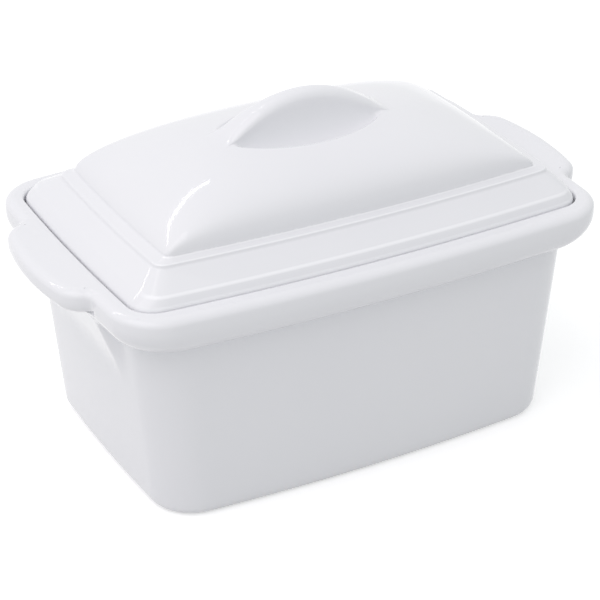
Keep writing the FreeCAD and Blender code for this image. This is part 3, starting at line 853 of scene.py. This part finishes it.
def crown_tree(sizes):
    tree, inputs, size = new_tree("raised_crown", sizes)
    x, y, z = place_axes(tree)
    fall_along = (1 - named_field(tree, "along") ** END_CURVE).worked("MAXIMUM", 0) ** END_FALL
    fall_across = (1 - named_field(tree, "across") ** SIDE_CURVE).worked("MAXIMUM", 0) ** SIDE_FALL
    # Both falls together: level lines that are square-cornered at the foot and oval near the crest
    hip = size["Hip"]
    steep = [fall.worked("MAXIMUM", 0.0005) ** (0 - hip) for fall in (fall_along, fall_across)]
    dome = size["Foot Level"] + size["Dome Rise"] * (steep[0] + steep[1] - 1) ** (0 - 1 / hip)
    inside = 1 - ((x - size["Bowl Middle"]) / size["Bowl Length"]) ** 2 - (y / size["Bowl Width"]) ** 2
    bowl = size["Bowl Level"] - size["Bowl Depth"] * inside.worked("MAXIMUM", 0) ** 0.5
    bowl = bowl + (0 - inside).worked("MAXIMUM", 0) * BOWL_WALL
    ground = dome.worked("SMOOTH_MIN", bowl, size["Bowl Edge"])
    # The bridge keeps its height above the ground only where it is tall, and its shoulders drop with it
    arch = size["Bridge Top"] - size["Bridge Fall"] * (x / size["Bridge Half"]) ** 2
    height = (arch - ground).worked("SMOOTH_MAX", 0, size["Bridge Blend"]).worked("MAXIMUM", 0)
    fade = height / (height + BRIDGE_FADE)
    raised = ground + height * named_field(tree, "bridge_share") - named_field(tree, "bridge_drop") * fade
    new_z = z + (raised - z) * named_field(tree, "crown")
    end_tree(tree, inputs, x + named_field(tree, "off_centre"), y, new_z)
    return tree


crown = crown_tree({
    "Foot Level": DOME_FOOT, "Dome Rise": DOME_RISE, "Hip": 1.2,
    "Bowl Length": RECESS_RADII[0], "Bowl Width": RECESS_RADII[1], "Bowl Depth": RECESS_RADII[2],
    "Bowl Level": RECESS_LEVEL, "Bowl Middle": RECESS_MIDDLE, "Bowl Edge": 1.2,
    "Bridge Top": BRIDGE_TOP, "Bridge Fall": BRIDGE_FALL, "Bridge Half": BRIDGE_HALF, "Bridge Blend": 2.0,
})
print("raised crown:", len(crown.nodes), "nodes")

# %% [markdown]
# ## The glaze
#
# Thick white glaze over white clay: very smooth, a little cool, and clear enough at its surface to mirror the
# lamps. It is never quite even. It gathers in hollows, thins on edges, and its surface waves very slightly.
# Dish and lid were dipped in the same glaze, so one node group makes these differences, and each casting's
# material takes them with its own values. The same group also paints fine highlight lines on the lid's
# terrace crests.

# %% The node group for uneven glaze and painted highlight lines
TONE_SPAN = (0.3, 0.7)             # noise from here to there takes the glaze from thick to thin
HOLLOW_SPAN = (0.47, 0.53)         # and so does the form's pointiness, from hollow to edge
ROUGH_SPAN = (0.035, 0.07)


def carried(group, value, source=(0, 1), target=(0, 1)):
    """A value carried from one span of numbers to another."""
    node = group.nodes.new("ShaderNodeMapRange")
    for name, number in zip(("From Min", "From Max", "To Min", "To Max"), (*source, *target)):
        node.inputs[name].default_value = number
    group.links.new(value, node.inputs["Value"])
    return node.outputs[0]


def half_and_half(group, first, second):
    half, both = group.nodes.new("ShaderNodeMath"), group.nodes.new("ShaderNodeMath")
    half.operation, both.operation = "MULTIPLY", "MULTIPLY_ADD"
    half.inputs[1].default_value = both.inputs[1].default_value = 0.5
    group.links.new(first, half.inputs[0])
    group.links.new(second, both.inputs[0])
    group.links.new(half.outputs[0], both.inputs[2])
    return both.outputs[0]


def blend(group, factor, first, second):
    """A colour that goes from the first to the second as the factor goes from 0 to 1."""
    node = group.nodes.new("ShaderNodeMix")
    node.data_type = "RGBA"
    node.clamp_factor = True
    for name, source in (("Factor", factor), ("A", first), ("B", second)):
        group.links.new(source, node.inputs[name])
    return node.outputs["Result"]


def noise(group, place, scale, detail):
    node = group.nodes.new("ShaderNodeTexNoise")
    node.inputs["Detail"].default_value = detail
    group.links.new(place, node.inputs["Vector"])
    group.links.new(scale, node.inputs["Scale"])
    return node.outputs["Fac"]


def glaze_and_highlight_group():
    group = bpy.data.node_groups.new("uneven_glaze_and_painted_highlight", "ShaderNodeTree")
    for name in ("Tone Scale", "Wave Scale", "Wave Depth"):
        group.interface.new_socket(name, in_out="INPUT", socket_type="NodeSocketFloat")
    for name in ("Thin", "Thick", "Edge"):
        group.interface.new_socket(name, in_out="INPUT", socket_type="NodeSocketColor")
    for name, kind in (("Colour", "NodeSocketColor"), ("Roughness", "NodeSocketFloat"),
                       ("Normal", "NodeSocketVector")):
        group.interface.new_socket(name, in_out="OUTPUT", socket_type=kind)
    add, link = group.nodes.new, group.links.new
    sizes, outputs = add("NodeGroupInput").outputs, add("NodeGroupOutput").inputs
    place = add("ShaderNodeTexCoord").outputs["Object"]
    tone = carried(group, noise(group, place, sizes["Tone Scale"], 3), TONE_SPAN)
    edges = carried(group, add("ShaderNodeNewGeometry").outputs["Pointiness"], HOLLOW_SPAN)
    colour = blend(group, half_and_half(group, tone, edges), sizes["Thick"], sizes["Thin"])
    # A painted highlight: the crests of the lid's long edges get a lighter colour, so they show as fine light
    # lines
    line = add("ShaderNodeAttribute")
    line.attribute_name = "painted_highlight_line"
    link(blend(group, line.outputs["Fac"], colour, sizes["Edge"]), outputs["Colour"])
    link(carried(group, tone, target=ROUGH_SPAN), outputs["Roughness"])
    bump = add("ShaderNodeBump")
    bump.inputs["Distance"].default_value = MM
    link(sizes["Wave Depth"], bump.inputs["Strength"])
    link(noise(group, place, sizes["Wave Scale"], 1), bump.inputs["Height"])
    link(bump.outputs[0], outputs["Normal"])
    return group


uneven_glaze_and_painted_highlight = glaze_and_highlight_group()
print("uneven_glaze_and_painted_highlight:", len(uneven_glaze_and_painted_highlight.nodes), "nodes")

# %% [markdown]
# ## Two materials from one glaze
#
# Each casting has its own material, since tones and waves fall differently on it. Colour, roughness and waves
# come from the shared node group, and what is the same all over is set on the shader itself.

# %% The glaze on each casting
# Thin and Thick are the glaze's own tones; Edge is the lighter colour of the painted highlight lines on the
# lid
GLAZE_AND_HIGHLIGHT_TONES = {"Thin": (0.866, 0.868, 0.89, 1), "Thick": (0.828, 0.832, 0.862, 1),
               "Edge": (0.967, 0.969, 0.992, 1)}
GLAZE_WAVES = {"Wave Scale": 55, "Wave Depth": 0.12}


def glaze(name, tone_scale):
    material = bpy.data.materials.new(name)
    material.use_nodes = True
    nodes, links = material.node_tree.nodes, material.node_tree.links
    shader = nodes["Principled BSDF"]
    shader.inputs["IOR"].default_value = 1.5
    shader.inputs["Specular IOR Level"].default_value = 0.32
    uneven = nodes.new("ShaderNodeGroup")
    uneven.node_tree = uneven_glaze_and_painted_highlight
    for input_name, value in {"Tone Scale": tone_scale, **GLAZE_WAVES, **GLAZE_AND_HIGHLIGHT_TONES}.items():
        uneven.inputs[input_name].default_value = value
    for output, target in (("Colour", "Base Color"), ("Roughness", "Roughness"), ("Normal", "Normal")):
        links.new(uneven.outputs[output], shader.inputs[target])
    return material


dish_glaze = glaze("glaze_of_dish", 11)
lid_glaze = glaze("glaze_of_lid", 13)
print("glazes:", dish_glaze.name, lid_glaze.name)

# %% [markdown]
# ## Finished castings
#
# Each net goes through its tree, becomes a plain mesh in its glaze, and takes the place of its CAD node.

# %% Make the pieces
def mark_outer_skin(mesh):
    """Only the outside of the end walls may swell."""
    inner_wall = [wall_shape(level)[0] - WALL / 2 for level in (0, NECK_LEVEL)]
    skin = mesh.attributes.new("outer_skin", "FLOAT", "POINT")
    for vertex, value in zip(mesh.vertices, skin.data):
        level = vertex.co.z / MM
        limit = inner_wall[0] + (inner_wall[1] - inner_wall[0]) * level / NECK_LEVEL
        value.value = 1.0 if abs(vertex.co.x) / MM > limit and level > BRACKET_FOOT - 3 else 0.0


mark_outer_skin(dish_mesh)
dish = run_tree(dish_mesh, swell, dish_glaze)
lid = run_tree(lid_mesh, crown, lid_glaze)
for piece, node, slot in ((dish, "dish", "white_glaze"), (lid, "lid", "white_glaze_lid")):
    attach(piece, "root")
    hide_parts(node)
    box = [[round(value / MM, 2) for value in corner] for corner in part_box(node)]
    print(piece.name, len(piece.data.polygons), "faces; its CAD node lies between", *box)

# %% [markdown]
# ## The table
#
# A white table that looks pure white to the camera and still shows the shadow: it scatters light as pale
# card does, and a little extra white is added only for what the camera and the reflections see. The sky is
# made in the same way.

# %% The table
CARD, VEIL = 0.73, 0.47            # light that the card scatters, and white added where it is looked at


def seen_directly(nodes, links):
    """1 where the camera, a reflection or a refraction looks, and 0 for light that falls on things."""
    path = nodes.new("ShaderNodeLightPath")
    total = path.outputs["Is Camera Ray"]
    for name in ("Is Glossy Ray", "Is Transmission Ray"):
        adding = nodes.new("ShaderNodeMath")
        adding.operation = "ADD"
        adding.use_clamp = True
        links.new(total, adding.inputs[0])
        links.new(path.outputs[name], adding.inputs[1])
        total = adding.outputs[0]
    return total


def white_table():
    material = bpy.data.materials.new("white_card")
    material.use_nodes = True
    nodes, links = material.node_tree.nodes, material.node_tree.links
    nodes.remove(nodes["Principled BSDF"])
    card = nodes.new("ShaderNodeBsdfDiffuse")
    card.inputs["Color"].default_value = (CARD, CARD, CARD, 1)
    veil = nodes.new("ShaderNodeEmission")
    strength = nodes.new("ShaderNodeMath")
    strength.operation = "MULTIPLY"
    strength.inputs[1].default_value = VEIL
    links.new(seen_directly(nodes, links), strength.inputs[0])
    links.new(strength.outputs[0], veil.inputs["Strength"])
    together = nodes.new("ShaderNodeAddShader")
    links.new(card.outputs[0], together.inputs[0])
    links.new(veil.outputs[0], together.inputs[1])
    links.new(together.outputs[0], nodes["Material Output"].inputs["Surface"])
    return material


def make_table():
    half = 6.0
    corners = [(-half, -half, 0), (half, -half, 0), (half, half, 0), (-half, half, 0)]
    mesh = bpy.data.meshes.new("table")
    mesh.from_pydata(corners, [], [(0, 1, 2, 3)])
    table = bpy.data.objects.new("table", mesh)
    bpy.context.scene.collection.objects.link(table)
    mesh.materials.append(white_table())
    return table


table = make_table()
print("table of", table.dimensions.x, "m")

# %% [markdown]
# ## Sky and lamps
#
# A wide soft box hangs over the left end, so the top and the left end are bright and the front lies in gentle
# shade. A narrow tube behind the dish draws the fine white lines where the dome's hip and the corners turn.

# %% Sky and lamps
def white_sky(strength):
    world = bpy.data.worlds.new("white_sky")
    bpy.context.scene.world = world
    world.use_nodes = True
    nodes, links = world.node_tree.nodes, world.node_tree.links
    soft = nodes["Background"]
    soft.inputs["Color"].default_value = (0.975, 1.0, 1.005, 1)
    soft.inputs["Strength"].default_value = strength
    shown = nodes.new("ShaderNodeBackground")
    shown.inputs["Color"].default_value = (1, 1, 1, 1)
    mix = nodes.new("ShaderNodeMixShader")
    links.new(seen_directly(nodes, links), mix.inputs[0])
    links.new(soft.outputs[0], mix.inputs[1])
    links.new(shown.outputs[0], mix.inputs[2])
    links.new(mix.outputs[0], nodes["World Output"].inputs["Surface"])


def soft_lamp(name, place, aim, along, width, length, power):
    """A lamp with a glowing rectangle, its length laid along a direction and its face turned to a point."""
    light = bpy.data.lights.new(name, "AREA")
    light.shape, light.size, light.size_y, light.energy = "RECTANGLE", width, length, power
    light.color = (1.0, 0.93, 0.965)
    back = (Vector(place) - Vector(aim)).normalized()
    side = Vector(along).cross(back).normalized()
    lamp = bpy.data.objects.new(name, light)
    lamp.location = place
    lamp.rotation_euler = Matrix((side, back.cross(side), back)).transposed().to_euler()
    bpy.context.scene.collection.objects.link(lamp)
    return lamp


white_sky(0.71)
AIM = (0, 0, 0.08)
box = soft_lamp("soft_box", (-0.72, -0.18, 1.3), AIM, (0, 1, 0), 1.2, 1.4, 7.3)
tube = soft_lamp("long_tube", (-0.33, 0.9, 0.98), AIM, (-0.91, 0.02, -0.42), 0.018, 1.05, 1.2)
print("lamps:", box.name, tube.name)

# %% [markdown]
# ## The camera
#
# It looks down on the near left corner from about 0.7 m away through a long lens, so edges that run away
# from it draw together only a little.

# %% The camera
def make_camera():
    lens = bpy.data.cameras.new("camera")
    lens.lens, lens.sensor_width = 127.2, 36.0
    lens.sensor_fit = "HORIZONTAL"
    camera = bpy.data.objects.new("camera", lens)
    camera.location = (-0.2793, -0.5096, 0.3629)
    camera.rotation_euler = Euler((math.radians(60.699), 0, math.radians(-28.741)))
    bpy.context.scene.collection.objects.link(camera)
    bpy.context.scene.camera = camera
    return camera


camera = make_camera()
bpy.context.scene.view_settings.view_transform = "Standard"
print("lens", camera.data.lens, "mm")

# %% [markdown]
# ## Sizes in the end
#
# The finished castings must fill the same box as the CAD model.
